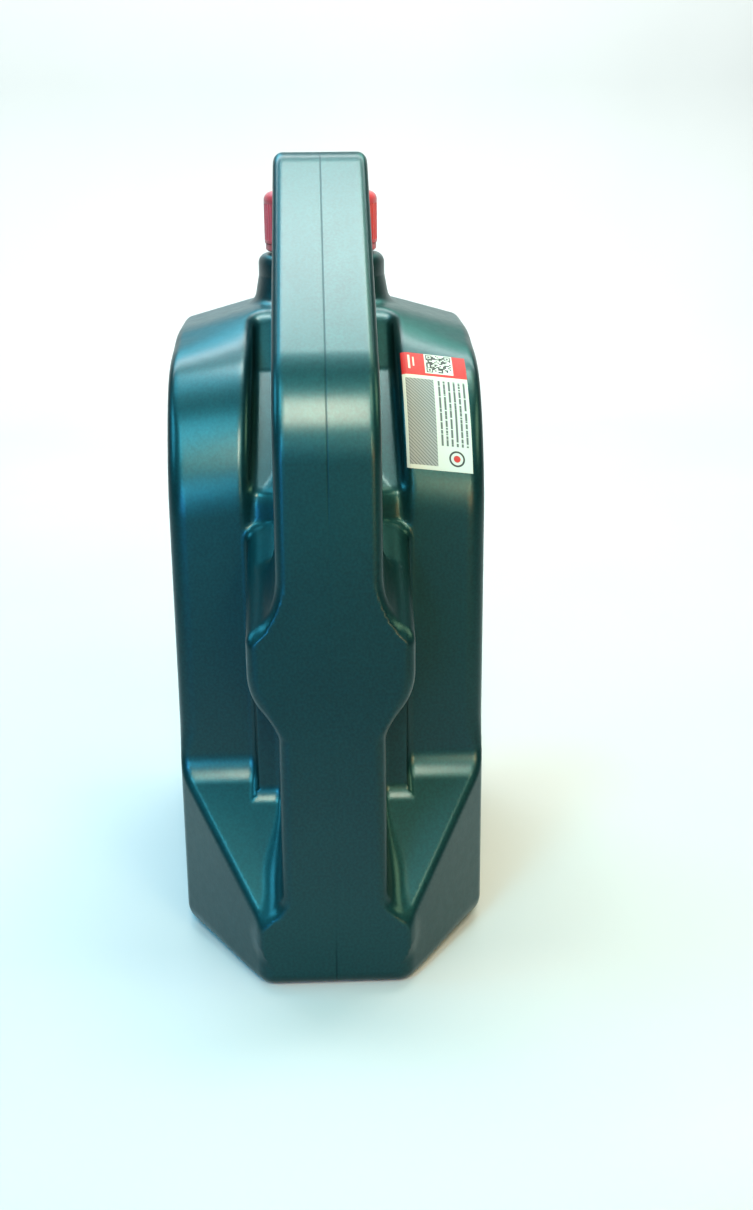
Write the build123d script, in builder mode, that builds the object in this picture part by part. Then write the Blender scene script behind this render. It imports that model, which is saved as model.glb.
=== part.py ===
from build123d import *
import os
from math import cos, radians, sin, tan

os.makedirs("parts", exist_ok=True)

# Four litre motor oil jug, millimetres. X runs along the jug from the neck side
# to the handle side, Y through its depth, Z up from the table.

# overall size
width = 200.0
depth = 120.0
crown_z = 243.0
handle_rise = 60.0
end_x = width / 2
far_x = -width / 2
side_y = depth / 2
handle_top_z = crown_z + handle_rise

# walls
wall = 1.5
oil_gap = 0.3

# body: wall facing the handle, and the sloping foot under it
foot_reach = 49.0
wall_x = end_x - foot_reach
foot_z = 26.0
crease_z = 70.0
end_half = 27.5
brow_radius = 63.0
brow_z = crown_z - 68.0
brow_turn = 60.0
far_corner_radius = 20.0
far_shoulder_radius = 42.0
end_corner_radius = 7.0
crease_radius = 5.0
base_radius = 7.0

# body: shoulder across the depth
crown_half = 27.0
crown_radius = 95.0
wing_low_y = 25.0
wing_fall = 7.5
eaves_z = crown_z - 7.0
eaves_radius = 9.0

# neck, built outwards from the outside of the mouth
neck_x = far_x + 55.0
neck_radius = 20.6
neck_wall = 2.2
neck_bore = neck_radius - neck_wall
neck_height = 21.4
flare_low_radius = neck_radius + 8.2
flare_high_radius = neck_radius + 6.3
flare_low_z = crown_z - 3.0
flare_high_z = crown_z + 7.3
collar_radius = neck_radius + 5.8
collar_wall = 2.0
collar_height = 11.5
collar_high_z = flare_high_z + collar_height
collar_round = 4.0
throat_radius = collar_radius - collar_wall
neck_top_z = collar_high_z + neck_height

# tamper ring round the neck, held down by a bead
ring_gap = 0.4
ring_wall = 2.1
ring_rest = 1.2
ring_height = 2.8
ring_chamfer = 0.5
ring_bore = neck_radius + ring_gap
ring_radius = ring_bore + ring_wall
ring_low_z = collar_high_z + ring_rest
ring_high_z = ring_low_z + ring_height
bead_rise = 0.7
bead_height = 1.0
bead_gap = 0.6
bead_radius = neck_radius + bead_rise
bead_z = ring_high_z + bead_gap

# closure: foil on the mouth, liner on the foil, cap round the neck
foil_thick = 0.2
liner_thick = 1.2
thread_room = 1.4
liner_gap = 0.6
cap_wall = 1.5
cap_top_thick = 2.0
cap_rest = 0.4
cap_round = 3.4
cap_bore = neck_radius + thread_room
cap_radius = cap_bore + cap_wall
cap_low_z = ring_high_z + cap_rest
liner_radius = cap_bore - liner_gap
liner_z = neck_top_z + foil_thick
cap_roof_z = liner_z + liner_thick
cap_top_z = cap_roof_z + cap_top_thick
rib_count = 72
rib_depth = 0.45
rib_radius = 0.7
rib_low = 1.2
rib_high = 4.6

# handle and web
handle_low_half = 20.0
handle_high_half = 18.2
handle_thick = 27.0
handle_slope = 37.0
bend_radius = 45.0
bend_z = crown_z - 39.0
top_round_share = 1.24
back_round_share = 0.46
post_gap = 7.0
post_thick = 21.0
post_back_x = neck_x + cap_radius + post_gap
post_front_x = post_back_x + post_thick
hole_radius = 10.0
handle_edge = 3.5
web_foot_half = 25.0
web_foot_low_z = foot_z - 3.5
web_foot_high_z = foot_z + 11.0

# boss carrying the foot of the handle, and the step behind the web
boss_half = 30.3
boss_back_z = crown_z - 74.5
boss_top_z = boss_back_z - 26.9
boss_side_z = boss_top_z - 14.6
boss_low_z = boss_side_z - 21.0
boss_low_half = 18.0
boss_edge = 3.0
step_x = wall_x + 8.5
step_half = 29.5
step_low_z = foot_z + 14.0

# valley between the two flanks, under the handle
valley_low_half = 29.6
valley_high_half = 27.3
valley_low_x = wall_x - 2.0
valley_low_z = boss_back_z + 12.5
valley_high_x = post_front_x - 5.5
valley_high_z = crown_z - 23.0
valley_back_x = post_back_x - 0.5

# how far pieces of the moulding are carried into one another
root = 8.0
over = 10.0

# label panels in the two broad sides
panel_low_x = far_x + far_corner_radius + 4.0
panel_high_x = wall_x - 11.0
panel_low_z = 22.0
panel_high_z = crown_z - far_shoulder_radius - 3.0
panel_width = panel_high_x - panel_low_x
panel_height = panel_high_z - panel_low_z
panel_x = (panel_low_x + panel_high_x) / 2
panel_z = (panel_low_z + panel_high_z) / 2
panel_radius = 10.0
panel_depth = 0.8
label_thick = 0.3
label_gap = 1.0

# push-up under the base
base_thick = 2.5
pushup_depth = 3.0
pushup_margin = 13.0
channel_half = 5.0
channel_depth = 1.0

# oil
oil_level = crown_z - 25.0

# sticker on the flank beside the valley
sticker_gap = 0.5
sticker_width = 25.5
sticker_low_y = valley_low_half + sticker_gap
sticker_low_turn = 12.0
sticker_high_turn = 58.5
sticker_thick = 0.25

# points worked out from the sizes above
brow_x = wall_x - brow_radius
brow_end_x = brow_x + brow_radius * cos(radians(brow_turn))
brow_end_z = brow_z + brow_radius * sin(radians(brow_turn))
brow_mid_x = brow_x + brow_radius * cos(radians(brow_turn / 2))
brow_mid_z = brow_z + brow_radius * sin(radians(brow_turn / 2))
crown_x = brow_end_x - (crown_z - brow_end_z) / tan(radians(90 - brow_turn))
far_shoulder_z = crown_z - far_shoulder_radius
wing_lean = tan(radians(wing_fall))

bend_turn = 90 - handle_slope
bend_end_x = end_x - bend_radius * (1 - cos(radians(bend_turn)))
bend_end_z = bend_z + bend_radius * sin(radians(bend_turn))
bend_mid_x = end_x - bend_radius * (1 - cos(radians(bend_turn / 2)))
bend_mid_z = bend_z + bend_radius * sin(radians(bend_turn / 2))
grip_radius = bend_radius - handle_thick
grip_x = end_x - handle_thick
grip_end_x = end_x - bend_radius + grip_radius * cos(radians(bend_turn))
grip_end_z = bend_z + grip_radius * sin(radians(bend_turn))
grip_mid_x = end_x - bend_radius + grip_radius * cos(radians(bend_turn / 2))
grip_mid_z = bend_z + grip_radius * sin(radians(bend_turn / 2))
slope_rise = tan(radians(handle_slope))
post_root_z = flare_high_z + 5.0
top_front_x = bend_end_x - (handle_top_z - bend_end_z) / slope_rise
handle_top_radius = top_round_share * (top_front_x - post_back_x)
handle_back_radius = back_round_share * (top_front_x - post_back_x)
post_front_z = grip_end_z + (grip_end_x - post_front_x) * slope_rise
boss_fall = (boss_back_z - boss_top_z) / (end_x - wall_x)
grip_low_z = boss_top_z + (end_x - grip_x) * boss_fall


def roof_side():
    """Outline of wall, brow, crown and far shoulder, carried down below the table."""
    with BuildSketch(Plane.XZ) as side:
        with BuildLine():
            Polyline((wall_x, brow_z), (wall_x, -depth), (far_x, -depth), (far_x, far_shoulder_z))
            RadiusArc((far_x, far_shoulder_z), (far_x + far_shoulder_radius, crown_z), far_shoulder_radius)
            Polyline((far_x + far_shoulder_radius, crown_z), (crown_x, crown_z), (brow_end_x, brow_end_z))
            ThreePointArc((brow_end_x, brow_end_z), (brow_mid_x, brow_mid_z), (wall_x, brow_z))
        make_face()
        crown = [v for v in side.vertices() if abs(v.X - crown_x) < 0.01]
        fillet(crown, radius=crown_radius)
    return side.sketch


def foot_side():
    """Outline of the sloping foot standing out from the wall under the handle."""
    with BuildSketch(Plane.XZ) as side:
        with BuildLine():
            Polyline(
                (wall_x - root, 0),
                (end_x, 0),
                (end_x, foot_z),
                (wall_x, crease_z),
                (wall_x, crease_z + over),
                (wall_x - root, crease_z + over),
                close=True,
            )
        make_face()
        crease = [v for v in side.vertices() if abs(v.Y - crease_z) < 0.01]
        fillet(crease, radius=crease_radius)
    return side.sketch


def body_plan():
    """Outline of the body seen from above."""
    with BuildSketch(Plane.XY) as plan:
        with BuildLine():
            Polyline(
                (far_x, -side_y),
                (wall_x, -side_y),
                (end_x, -end_half),
                (end_x, end_half),
                (wall_x, side_y),
                (far_x, side_y),
                close=True,
            )
        make_face()
        fillet(plan.vertices().group_by(Axis.X)[0], radius=far_corner_radius)
        fillet(plan.vertices().group_by(Axis.X)[-1], radius=end_corner_radius)
    return plan.sketch


def body_front():
    """Outline of the body seen from the handle end."""
    with BuildSketch(Plane.YZ) as front:
        with BuildLine():
            Polyline(
                (-side_y, 0),
                (side_y, 0),
                (side_y, eaves_z),
                (crown_half, crown_z),
                (-crown_half, crown_z),
                (-side_y, eaves_z),
                close=True,
            )
        make_face()
        eaves = [v for v in front.vertices() if abs(v.Y - eaves_z) < 1]
        fillet(eaves, radius=eaves_radius)
    return front.sketch


def handle_side():
    """Outline of handle, post and web seen from the broad side, with the finger hole left solid."""
    with BuildSketch(Plane.XZ) as side:
        with BuildLine():
            Polyline(
                (end_x, bend_z),
                (end_x, foot_z - over),
                (wall_x - root, foot_z - over),
                (wall_x - root, boss_back_z),
                (valley_back_x - root, valley_high_z),
                (post_back_x - root, flare_high_z),
                (post_back_x, post_root_z),
                (post_back_x, handle_top_z),
                (top_front_x, handle_top_z),
                (bend_end_x, bend_end_z),
            )
            ThreePointArc((bend_end_x, bend_end_z), (bend_mid_x, bend_mid_z), (end_x, bend_z))
        make_face()
        tops = side.vertices().group_by(Axis.Y)[-1].sort_by(Axis.X)
        fillet(tops[1], radius=handle_top_radius)
        tops = side.vertices().group_by(Axis.Y)[-1].sort_by(Axis.X)
        fillet(tops[0], radius=handle_back_radius)
    return side.sketch


def hole_side():
    """Outline of the finger hole seen from the broad side."""
    with BuildSketch(Plane.XZ) as side:
        with BuildLine():
            Polyline(
                (grip_x, bend_z),
                (grip_x, grip_low_z),
                (wall_x, boss_back_z),
                (valley_low_x, valley_low_z),
                (post_front_x, valley_at(post_front_x)),
                (post_front_x, post_front_z),
                (grip_end_x, grip_end_z),
            )
            ThreePointArc((grip_end_x, grip_end_z), (grip_mid_x, grip_mid_z), (grip_x, bend_z))
        make_face()
        blunt = [v for v in side.vertices() if abs(v.X - post_front_x) < 0.01]
        fillet(blunt, radius=hole_radius)
    return side.sketch


def valley_at(x):
    """Height of the valley floor at x."""
    rise = (valley_high_z - valley_low_z) / (valley_low_x - valley_high_x)
    return valley_low_z + (valley_low_x - x) * rise


def valley_front():
    """Section of the valley seen from the handle end, a little wider at the bottom."""
    with BuildSketch(Plane.YZ) as front:
        with BuildLine():
            Polyline(
                (-valley_low_half, boss_back_z),
                (valley_low_half, boss_back_z),
                (valley_high_half, crown_z + over),
                (-valley_high_half, crown_z + over),
                close=True,
            )
        make_face()
    return front.sketch


def valley_side():
    """Region cleared between the flanks, seen from the broad side."""
    with BuildSketch(Plane.XZ) as side:
        with BuildLine():
            Polyline(
                (wall_x + over, boss_back_z),
                (wall_x, boss_back_z),
                (valley_low_x, valley_low_z),
                (valley_high_x, valley_high_z),
                (valley_back_x, crown_z + 1),
                (valley_back_x, crown_z + over),
                (wall_x + over, crown_z + over),
                close=True,
            )
        make_face()
    return side.sketch


def boss_side():
    """Outline of the boss and the step behind the web, seen from the broad side."""
    with BuildSketch(Plane.XZ) as side:
        with BuildLine():
            Polyline(
                (wall_x - root, boss_low_z),
                (end_x, boss_low_z),
                (end_x, boss_top_z),
                (wall_x, boss_back_z),
                (wall_x - root, boss_back_z + root * boss_fall),
                close=True,
            )
        make_face()
    return side.sketch


def boss_front():
    """Outline of the boss seen from the handle end: upright sides drawn in to the web."""
    with BuildSketch(Plane.YZ) as front:
        with BuildLine():
            Polyline(
                (-boss_half, boss_side_z),
                (-boss_half, boss_back_z + over),
                (boss_half, boss_back_z + over),
                (boss_half, boss_side_z),
            )
            TangentArc((boss_half, boss_side_z), (boss_low_half, boss_low_z), tangent=(0, -1))
            Line((boss_low_half, boss_low_z), (-boss_low_half, boss_low_z))
            TangentArc((-boss_half, boss_side_z), (-boss_low_half, boss_low_z), tangent=(0, -1))
        make_face()
    return front.sketch


def handle_front():
    """Outline of handle and web seen from the handle end, tapering upwards from a spread foot."""
    taper = (handle_low_half - handle_high_half) / handle_top_z
    waist = handle_low_half - taper * web_foot_high_z
    with BuildSketch(Plane.YZ) as front:
        with BuildLine():
            for facing in (1, -1):
                Polyline(
                    (0, handle_top_z + over),
                    (facing * handle_high_half, handle_top_z + over),
                    (facing * waist, web_foot_high_z),
                )
                TangentArc(
                    (facing * waist, web_foot_high_z),
                    (facing * web_foot_half, web_foot_low_z),
                    tangent=(0, -1),
                )
                Polyline((facing * web_foot_half, web_foot_low_z), (facing * web_foot_half, 0), (0, 0))
        make_face()
    return front.sketch


def grown(outline, amount):
    """The outline with every side moved out by amount, or in if it is negative."""
    if amount == 0:
        return outline
    return offset(outline, amount=amount, kind=Kind.INTERSECTION)


def roof(inset):
    """Body without its foot: level between the flanks, each flank leaning down outwards."""
    outline = grown(roof_side(), -inset)
    with BuildPart() as piece:
        extrude(outline, amount=wing_low_y, both=True)
        for facing in (1, -1):
            extrude(
                Pos(0, facing * wing_low_y, 0) * outline,
                amount=side_y,
                dir=(0, facing, -wing_lean),
            )
    return piece.part


def body(inset):
    """Body block with its foot, shoulder and rounded corners."""
    with BuildPart() as piece:
        add(roof(inset))
        extrude(grown(foot_side(), -inset), amount=side_y + over, both=True)
        extrude(Pos(0, 0, inset) * grown(body_plan(), -inset), amount=crown_z, mode=Mode.INTERSECT)
        extrude(grown(body_front(), -inset), amount=end_x + over, both=True, mode=Mode.INTERSECT)
        fillet(piece.edges().group_by(Axis.Z)[0], radius=base_radius - inset)
    return piece.part


def boss(inset):
    """Boss under the handle with its front and top edges rounded."""
    with BuildPart() as piece:
        extrude(grown(boss_side(), -inset), amount=boss_half + over, both=True)
        extrude(grown(boss_front(), -inset), amount=end_x + over, both=True, mode=Mode.INTERSECT)
        front = piece.faces().sort_by(Axis.X)[-1].edges()
        upright = piece.faces().filter_by(Axis.Y)
        top = [e for f in upright for e in f.edges() if abs(e.tangent_at(0.5).X) < 0.999]
        top = [e for e in top if e.center().Z > boss_top_z]
        fillet(list(front) + top, radius=boss_edge - inset / 2)
    return piece.part


def handle(inset):
    """Handle, post and web around the finger hole, with rounded rims."""
    with BuildPart() as piece:
        extrude(grown(handle_side(), -inset), amount=handle_low_half + over, both=True)
        extrude(grown(handle_front(), -inset), amount=end_x + over, both=True, mode=Mode.INTERSECT)
        extrude(grown(hole_side(), inset), amount=handle_low_half + over, both=True, mode=Mode.SUBTRACT)
        rims = [e for e in piece.edges() if abs(e.tangent_at(0.5).Y) < 0.9]
        high = [e for e in rims if e.center().X > step_x - root or e.center().Z > flare_low_z - over]
        fillet([e for e in high if e.center().Z > foot_z], radius=handle_edge - inset / 2)
    return piece.part


def panels(inset):
    """Shallow label panels cut into the two broad sides."""
    with BuildPart() as piece:
        for facing in (1, -1):
            with BuildSketch(Plane.XZ.offset(facing * (side_y - panel_depth - inset))):
                with Locations((panel_x, panel_z)):
                    RectangleRounded(panel_width + 2 * inset, panel_height + 2 * inset, panel_radius + inset)
            extrude(amount=facing * over)
    return piece.part


def pushup(inset):
    """Raised middle of the base."""
    reach = pushup_margin - inset
    with BuildPart() as piece:
        with BuildSketch(Plane.XY.offset(-over)):
            with BuildLine():
                Polyline(
                    (far_x + reach, reach - side_y),
                    (wall_x, reach - side_y),
                    (end_x - reach, reach - end_half),
                    (end_x - reach, end_half - reach),
                    (wall_x, side_y - reach),
                    (far_x + reach, side_y - reach),
                    close=True,
                )
            make_face()
        extrude(amount=pushup_depth + inset + over)
    return piece.part


def jug(inset):
    """Whole moulding below the neck, with every skin moved in by inset."""
    with BuildPart() as piece:
        add(body(inset))
        valley = extrude(grown(valley_side(), inset), amount=boss_half + over, both=True, mode=Mode.PRIVATE)
        section = extrude(grown(valley_front(), inset), amount=end_x + over, both=True, mode=Mode.PRIVATE)
        add(valley & section, mode=Mode.SUBTRACT)
        with Locations((wall_x - root, 0, step_low_z)):
            Box(
                step_x - wall_x + root - inset,
                2 * (step_half - inset),
                boss_side_z - step_low_z,
                align=(Align.MIN, Align.CENTER, Align.MIN),
            )
        add(boss(inset))
        add(handle(inset))
        add(panels(inset), mode=Mode.SUBTRACT)
        add(pushup(inset), mode=Mode.SUBTRACT)
    return piece.part


def flank_strip(inner, outer):
    """Sheet following the leaning flank above the wall, between two heights off its surface."""
    reach = brow_radius + 2 * over
    sticker_turns = (sticker_low_turn, (sticker_low_turn + sticker_high_turn) / 2, sticker_high_turn)
    spokes = [
        (brow_x + reach * cos(radians(turn)), brow_z + reach * sin(radians(turn)))
        for turn in sticker_turns
    ]
    with BuildSketch(Plane.XZ) as ring:
        with Locations((brow_x, brow_z)):
            Circle(brow_radius + outer)
            Circle(brow_radius + inner, mode=Mode.SUBTRACT)
        with BuildLine():
            Polyline((brow_x, brow_z), *spokes, close=True)
        make_face(mode=Mode.INTERSECT)
    with BuildPart() as piece:
        extrude(Pos(0, wing_low_y, 0) * ring.sketch, amount=side_y, dir=(0, 1, -wing_lean))
        with Locations((0, sticker_low_y + sticker_width / 2, 0)):
            Box(width, sticker_width, 2 * crown_z, mode=Mode.INTERSECT)
    return piece.part


outside = jug(0)
inside = jug(wall)
contents = jug(wall + oil_gap)
hollow = inside - Box(width, depth, 2 * base_thick)

# bottle: one hollow blow moulding through body, boss, handle and neck
with BuildPart() as bottle:
    add(outside)
    Box(width + 2, 2 * channel_half, 2 * channel_depth, mode=Mode.SUBTRACT)
    with BuildSketch(Plane.XZ):
        with BuildLine():
            Polyline(
                (neck_x, flare_low_z - root),
                (neck_x + flare_low_radius, flare_low_z - root),
                (neck_x + flare_low_radius, flare_low_z),
                (neck_x + flare_high_radius, flare_high_z),
                (neck_x + collar_radius, flare_high_z),
                (neck_x + collar_radius, collar_high_z - collar_round),
            )
            TangentArc(
                (neck_x + collar_radius, collar_high_z - collar_round),
                (neck_x + collar_radius - collar_round, collar_high_z),
                tangent=(0, 1),
            )
            Polyline(
                (neck_x + collar_radius - collar_round, collar_high_z),
                (neck_x + neck_radius, collar_high_z),
                (neck_x + neck_radius, bead_z),
                (neck_x + bead_radius, bead_z + bead_rise / 2),
                (neck_x + bead_radius, bead_z + bead_height - bead_rise / 2),
                (neck_x + neck_radius, bead_z + bead_height),
                (neck_x + neck_radius, neck_top_z),
                (neck_x, neck_top_z),
                (neck_x, flare_low_z - root),
            )
        make_face()
    revolve(axis=Axis((neck_x, 0, 0), (0, 0, 1)))
    add(hollow, mode=Mode.SUBTRACT)
    with BuildSketch(Plane.XZ):
        with BuildLine():
            Polyline(
                (neck_x, flare_low_z - root),
                (neck_x + throat_radius + wall, flare_low_z - root),
                (neck_x + throat_radius + wall, flare_low_z),
                (neck_x + throat_radius, flare_high_z),
                (neck_x + throat_radius, collar_high_z - collar_round),
                (neck_x + neck_bore, collar_high_z),
                (neck_x + neck_bore, neck_top_z + 1),
                (neck_x, neck_top_z + 1),
                close=True,
            )
        make_face()
    revolve(axis=Axis((neck_x, 0, 0), (0, 0, 1)), mode=Mode.SUBTRACT)
bottle.part.label = "bottle"
export_step(bottle.part, "parts/bottle.step")

# oil up to the fill level, just clear of the inside of the bottle
with BuildPart() as oil_fill:
    add(contents)
    Box(width, depth, 2 * (base_thick + oil_gap), mode=Mode.SUBTRACT)
    with Locations((0, 0, oil_level)):
        Box(2 * width, 2 * depth, 200, align=(Align.CENTER, Align.CENTER, Align.MIN), mode=Mode.SUBTRACT)
oil_fill.part.label = "oil_fill"
export_step(oil_fill.part, "parts/oil_fill.step")

# foil seal welded over the mouth
with BuildPart() as foil_seal:
    with Locations((neck_x, 0, neck_top_z)):
        Cylinder(neck_radius, foil_thick, align=(Align.CENTER, Align.CENTER, Align.MIN))
foil_seal.part.label = "foil_seal"
export_step(foil_seal.part, "parts/foil_seal.step")

# liner wad held in the roof of the cap
with BuildPart() as cap_liner:
    with Locations((neck_x, 0, liner_z)):
        Cylinder(liner_radius, liner_thick, align=(Align.CENTER, Align.CENTER, Align.MIN))
cap_liner.part.label = "cap_liner"
export_step(cap_liner.part, "parts/cap_liner.step")

# screw cap with a ribbed grip
with BuildPart() as cap:
    with Locations((neck_x, 0, cap_low_z)):
        Cylinder(cap_radius, cap_top_z - cap_low_z, align=(Align.CENTER, Align.CENTER, Align.MIN))
    fillet(cap.edges().group_by(Axis.Z)[-1], radius=cap_round)
    with Locations((neck_x, 0, cap_low_z)):
        Cylinder(
            cap_bore,
            cap_roof_z - cap_low_z,
            align=(Align.CENTER, Align.CENTER, Align.MIN),
            mode=Mode.SUBTRACT,
        )
    with Locations((neck_x, 0, cap_low_z + rib_low)):
        with PolarLocations(cap_radius + rib_radius - rib_depth, rib_count):
            Cylinder(
                rib_radius,
                cap_top_z - rib_high - cap_low_z - rib_low,
                align=(Align.CENTER, Align.CENTER, Align.MIN),
                mode=Mode.SUBTRACT,
            )
cap.part.label = "cap"
export_step(cap.part, "parts/cap.step")

# tamper ring left round the neck under the cap
with BuildPart() as tamper_ring:
    with Locations((neck_x, 0, ring_low_z)):
        Cylinder(ring_radius, ring_high_z - ring_low_z, align=(Align.CENTER, Align.CENTER, Align.MIN))
        Cylinder(
            ring_bore,
            ring_high_z - ring_low_z,
            align=(Align.CENTER, Align.CENTER, Align.MIN),
            mode=Mode.SUBTRACT,
        )
    chamfer(tamper_ring.edges().group_by(Axis.Z)[0].sort_by(SortBy.LENGTH)[-1], length=ring_chamfer)
tamper_ring.part.label = "tamper_ring"
export_step(tamper_ring.part, "parts/tamper_ring.step")

# labels lying in the recessed panels
with BuildPart() as front_label:
    with BuildSketch(Plane.XZ.offset(side_y - panel_depth)):
        with Locations((panel_x, panel_z)):
            RectangleRounded(
                panel_width - 2 * label_gap,
                panel_height - 2 * label_gap,
                panel_radius - label_gap,
            )
    extrude(amount=label_thick)
front_label.part.label = "front_label"
export_step(front_label.part, "parts/front_label.step")

with BuildPart() as back_label:
    with BuildSketch(Plane.XZ.offset(panel_depth - side_y)):
        with Locations((panel_x, panel_z)):
            RectangleRounded(
                panel_width - 2 * label_gap,
                panel_height - 2 * label_gap,
                panel_radius - label_gap,
            )
    extrude(amount=-label_thick)
back_label.part.label = "back_label"
export_step(back_label.part, "parts/back_label.step")

# paper sticker following the curved flank beside the valley
with BuildPart() as check_sticker:
    add(flank_strip(0, sticker_thick))
check_sticker.part.label = "check_sticker"
export_step(check_sticker.part, "parts/check_sticker.step")
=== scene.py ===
"""Looks of the four litre oil jug: a smooth blow-moulded skin, threads, prints, light and camera."""
import math

import bpy
import numpy as np
from mathutils import Matrix


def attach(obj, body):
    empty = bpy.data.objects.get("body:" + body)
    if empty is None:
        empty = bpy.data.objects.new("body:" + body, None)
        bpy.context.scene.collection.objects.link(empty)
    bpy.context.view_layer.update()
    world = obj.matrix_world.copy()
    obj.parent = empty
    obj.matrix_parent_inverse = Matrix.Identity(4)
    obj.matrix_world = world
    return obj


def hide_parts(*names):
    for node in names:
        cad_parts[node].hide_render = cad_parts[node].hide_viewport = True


MM = 0.001

# body, millimetres, in the frame of the CAD part
END_X = 100.0
SIDE_Y = 60.0
WALL_X = 51.0
FOOT_Z = 26.0
CREASE_Z = 70.0
END_HALF = 27.5
BROW_RADIUS = 63.0
BROW_Z = 175.0
BROW_X = WALL_X - BROW_RADIUS
BROW_TURN = math.radians(60)
CROWN_Z = 243.0
CROWN_RADIUS = 95.0
WING_Y = 25.0
WING_LEAN = math.tan(math.radians(7.5))
EAVES_LEAN = 0.28
EAVES_ROUND = -2.5
FAR_SHOULDER = 42.0
FAR_CORNER = 20.0

# valley, boss, step and handle
VALLEY = [(51.0, 168.5), (49.0, 181.0), (1.0, 220.0), (-15.0, 244.0)]
VALLEY_LOW_HALF = 29.6
VALLEY_HIGH_HALF = 27.3
VALLEY_ROUND = 4.0
BOSS_HALF = 30.3
BOSS_LOW_Z = 106.0
BOSS_LOW_HALF = 18.0
BOSS_SIDE_Z = 127.0
BOSS_TOP_Z = 141.6
BOSS_ROUND = 4.5
BOSS_FRONT_ROUND = 4.0
STEP_X = 59.5
STEP_HALF = 29.5
STEP_LOW_Z = 40.0
HANDLE_LOW_HALF = 20.0
HANDLE_HIGH_HALF = 18.2
WEB_FOOT_HALF = 25.0
WEB_FOOT_Z = (22.5, 37.0)
HANDLE_THICK = 27.0
HANDLE_SLOPE = math.radians(37)
BEND_RADIUS = 45.0
BEND_Z = 204.0
HANDLE_TOP_Z = 303.0
HANDLE_ROUND = 3.8
POST_BACK_X = -14.5
POST_FRONT_X = 6.5
COLLAR_TOP_Z = 250.3

# neck and threads, radius and height for each end of the flare
NECK_X = -45.0
FLARE_LOW = (28.8, 240.0)
FLARE_HIGH = (26.9, 250.3)
FLARE_RUNS_ON = 6.0
THREAD_LEAD = 6.0

# label panels
PANEL_X = -18.0
PANEL_Z = 110.0
PANEL_HALF_WIDTH = 58.0
PANEL_HALF_HEIGHT = 88.0
PANEL_DEPTH = 0.8
PANEL_CORNER = 10.0

# underside
FOOT_CHANNEL = (5.0, 1.0)
FOOT_RIM = 15.0
FOOT_DEPTH = 2.4

# skin mesh: grid cell, longest step along an arc, triangle limit and reach of the normals
CELL = 1.3
ARC_STEP = 1.7
SKIN_TRIANGLES = 188000
NORMAL_REACH = 0.6

# sticker, angles in radians
STICKER_ANGLE = math.radians(-1.0)
STICKER_WIDTH = 25.5
STICKER_LENGTH = 50.5
STICKER_Y = 42.0
STICKER_TURN = math.radians(38.0)


# ---------------------------------------------------------------- outlines

def rounded(corners, steps=8):
    """Closed outline through (x, z, radius) corners, with an arc of that radius at each.

    Each arc has at least the given number of steps.
    """
    points = []
    count = len(corners)
    for i, (x, z, radius) in enumerate(corners):
        here = np.array([x, z])
        before = np.array(corners[i - 1][:2]) - here
        after = np.array(corners[(i + 1) % count][:2]) - here
        if radius <= 0:
            points.append(here)
            continue
        before /= np.linalg.norm(before)
        after /= np.linalg.norm(after)
        half = math.acos(np.clip(before @ after, -1, 1)) / 2
        middle = before + after
        centre = here + middle / np.linalg.norm(middle) * radius / math.sin(half)
        start = here + before * radius / math.tan(half) - centre
        end = here + after * radius / math.tan(half) - centre
        turn = math.atan2(start[0] * end[1] - start[1] * end[0], start @ end)
        parts = max(steps, int(radius * abs(turn) / ARC_STEP))
        for k in range(parts + 1):
            a = turn * k / parts
            c, s = math.cos(a), math.sin(a)
            points.append(centre + (c * start[0] - s * start[1], s * start[0] + c * start[1]))
    return np.array(points)


def arc(cx, cz, radius, start, end, steps):
    """Sharp corners along an arc, angles in radians."""
    return [
        (cx + radius * math.cos(a), cz + radius * math.sin(a), 0)
        for a in np.linspace(start, end, steps)
    ]


def roof_side():
    """Body from the side above the foot: far shoulder, crown, brow and front wall."""
    brow_end_x = BROW_X + BROW_RADIUS * math.cos(BROW_TURN)
    brow_end_z = BROW_Z + BROW_RADIUS * math.sin(BROW_TURN)
    crown_x = brow_end_x - (CROWN_Z - brow_end_z) * math.tan(BROW_TURN)
    return rounded(
        [(WALL_X, -40, 0), (-END_X, -40, 0), (-END_X, CROWN_Z, FAR_SHOULDER)]
        + [(crown_x, CROWN_Z, CROWN_RADIUS)]
        + arc(BROW_X, BROW_Z, BROW_RADIUS, BROW_TURN, 0, 60)
    )


def body_plan():
    """Body from above, with the nose at the front."""
    return rounded([
        (-END_X, -SIDE_Y, FAR_CORNER), (WALL_X, -SIDE_Y, 7), (END_X, -END_HALF, 8),
        (END_X, END_HALF, 8), (WALL_X, SIDE_Y, 7), (-END_X, SIDE_Y, FAR_CORNER),
    ])


def valley_side():
    """What is cut away under the handle, from the side."""
    low, step, end, back = VALLEY
    return rounded([
        (low[0] + 8, low[1], 0), (low[0], low[1], 2), (step[0], step[1], 3), (end[0], end[1], 8),
        (back[0], back[1], 0), (back[0], CROWN_Z + 10, 0), (low[0] + 8, CROWN_Z + 10, 0),
    ])


def valley_front():
    """What is cut away under the handle, from the front."""
    return rounded([
        (-VALLEY_LOW_HALF, VALLEY[0][1], 0), (VALLEY_LOW_HALF, VALLEY[0][1], 0),
        (VALLEY_HIGH_HALF, CROWN_Z + 10, 0), (-VALLEY_HIGH_HALF, CROWN_Z + 10, 0),
    ])


def boss_side():
    """Boss at the foot of the grip, from the side, with its sloping top."""
    return rounded([
        (WALL_X - 8, BOSS_LOW_Z - 10, 0), (END_X + 5, BOSS_LOW_Z - 10, 0),
        (END_X + 5, BOSS_TOP_Z - 2.7, 0),
        (WALL_X, VALLEY[0][1], 0), (WALL_X - 8, VALLEY[0][1] + 4, 0),
    ])


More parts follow.
